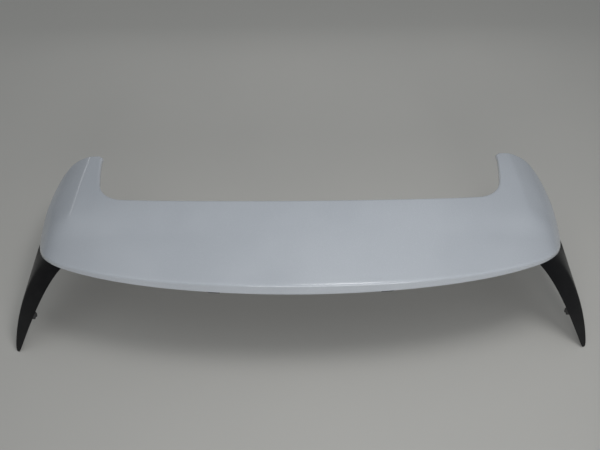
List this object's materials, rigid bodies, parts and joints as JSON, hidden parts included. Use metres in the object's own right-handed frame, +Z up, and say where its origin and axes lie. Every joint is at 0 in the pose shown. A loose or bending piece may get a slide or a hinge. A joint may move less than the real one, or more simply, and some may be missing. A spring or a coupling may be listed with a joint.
{
  "type": "tailgate spoiler",
  "caption": "Roof-edge tailgate spoiler with painted upper shell, two forward arms, black lower shell, recessed brake lamp and tapering side fins.",
  "frame": {"origin": "midway between the two inner mounting studs, on their seating plane", "axes": "+X to the right across the car, +Y forward along the car, +Z up"},
  "size_m": [1.2844, 0.4271, 0.2353],
  "materials": {
    "paint": "gloss bluish white paint",
    "gloss_black": "gloss black",
    "textured_black": "fine moulded texture",
    "foam": "closed-cell foam",
    "steel": "zinc plated",
    "lens": "clear red",
    "board": "solder mask",
    "led": "clear resin on white",
    "reflector": "bright metallised",
    "socket": "natural moulded"
  },
  "bodies": {
    "root": {"upper_shell": "paint", "lower_shell": "textured_black", "left_fin_skin": "gloss_black", "right_fin_skin": "gloss_black", "left_fin_carrier": "textured_black", "right_fin_carrier": "textured_black", "left_fin_clip": "textured_black", "right_fin_clip": "textured_black", "left_fin_tape": "foam", "right_fin_tape": "foam", "fin_screws": "steel", "shell_towers": "textured_black", "shell_screws": "steel", "stud_plates": "steel", "inner_studs": "steel", "outer_studs": "steel", "stud_seals": "foam", "locating_pins": "textured_black", "push_clips": "textured_black", "front_edge_seal": "foam", "left_arm_pad": "foam", "right_arm_pad": "foam", "lamp_bezel": "gloss_black", "lamp_housing": "textured_black", "lamp_reflector": "reflector", "lamp_lens": "lens", "lamp_board": "board", "lamp_leds": "led", "lamp_gasket": "foam", "lamp_screws": "steel", "lamp_socket": "socket"}
  },
  "joints": []
}
